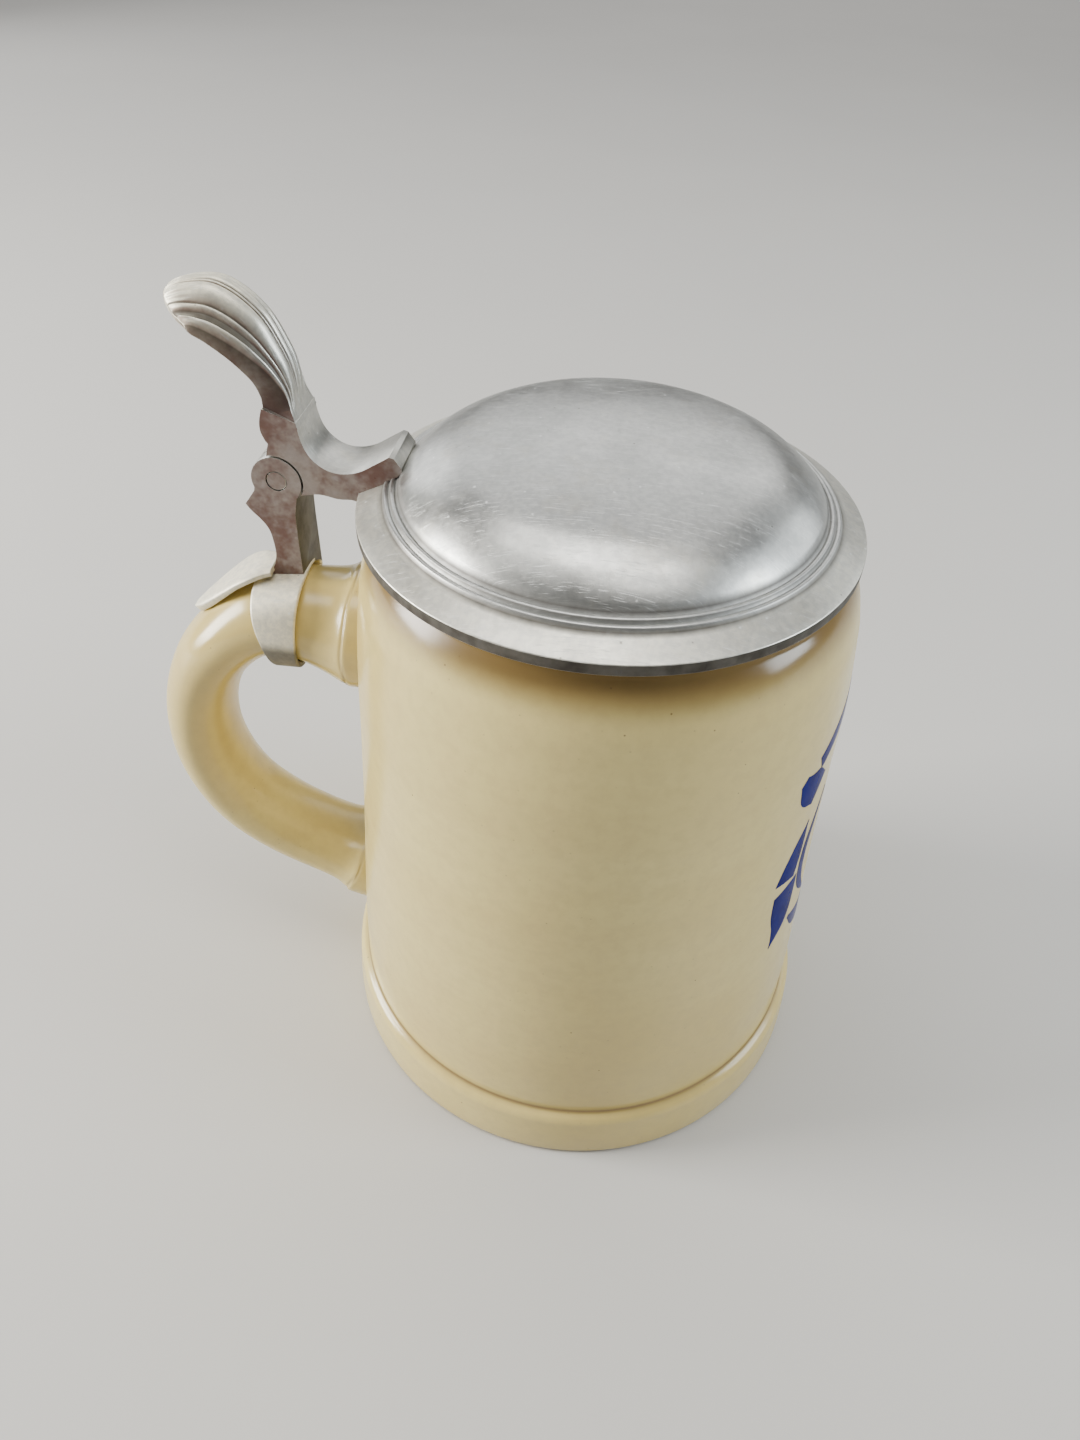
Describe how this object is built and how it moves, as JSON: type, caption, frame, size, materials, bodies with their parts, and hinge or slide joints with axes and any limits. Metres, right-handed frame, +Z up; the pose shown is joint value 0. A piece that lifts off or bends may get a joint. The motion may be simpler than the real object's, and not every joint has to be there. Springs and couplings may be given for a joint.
{
  "type": "beer stein",
  "caption": "Handled cylindrical stoneware drinking mug with a domed, hinged pewter lid and a fluted thumblift.",
  "frame": {"origin": "centre of the mug's underside, where it stands", "axes": "+Z up along the mug's axis; the hinge, the thumblift and the handle lie towards -X; +X is the decorated side; the hinge pin runs along Y"},
  "size_m": [0.1359, 0.1018, 0.1551],
  "materials": {
    "glazed_stoneware": "glossy grey-beige salt-style glaze with fine pinholes",
    "pewter": "satin, finely scratched",
    "hinge_wire": "drawn wire"
  },
  "bodies": {
    "mug": {"stoneware_body": "glazed_stoneware", "handle": "glazed_stoneware", "handle_strap": "pewter", "strap_tail": "pewter", "hinge_post": "pewter", "hinge_pin": "hinge_wire", "pin_plug_front": "pewter", "pin_plug_back": "pewter"},
    "lid": {"lid": "pewter", "lid_tang": "pewter", "thumblift": "pewter"}
  },
  "joints": [
    {"name": "lid_hinge", "type": "hinge", "parent": "mug", "child": "lid", "pos_m": [-0.0553, 0, 0.1246], "axis": [0, -1, 0], "range_deg": [0, 100]}
  ]
}
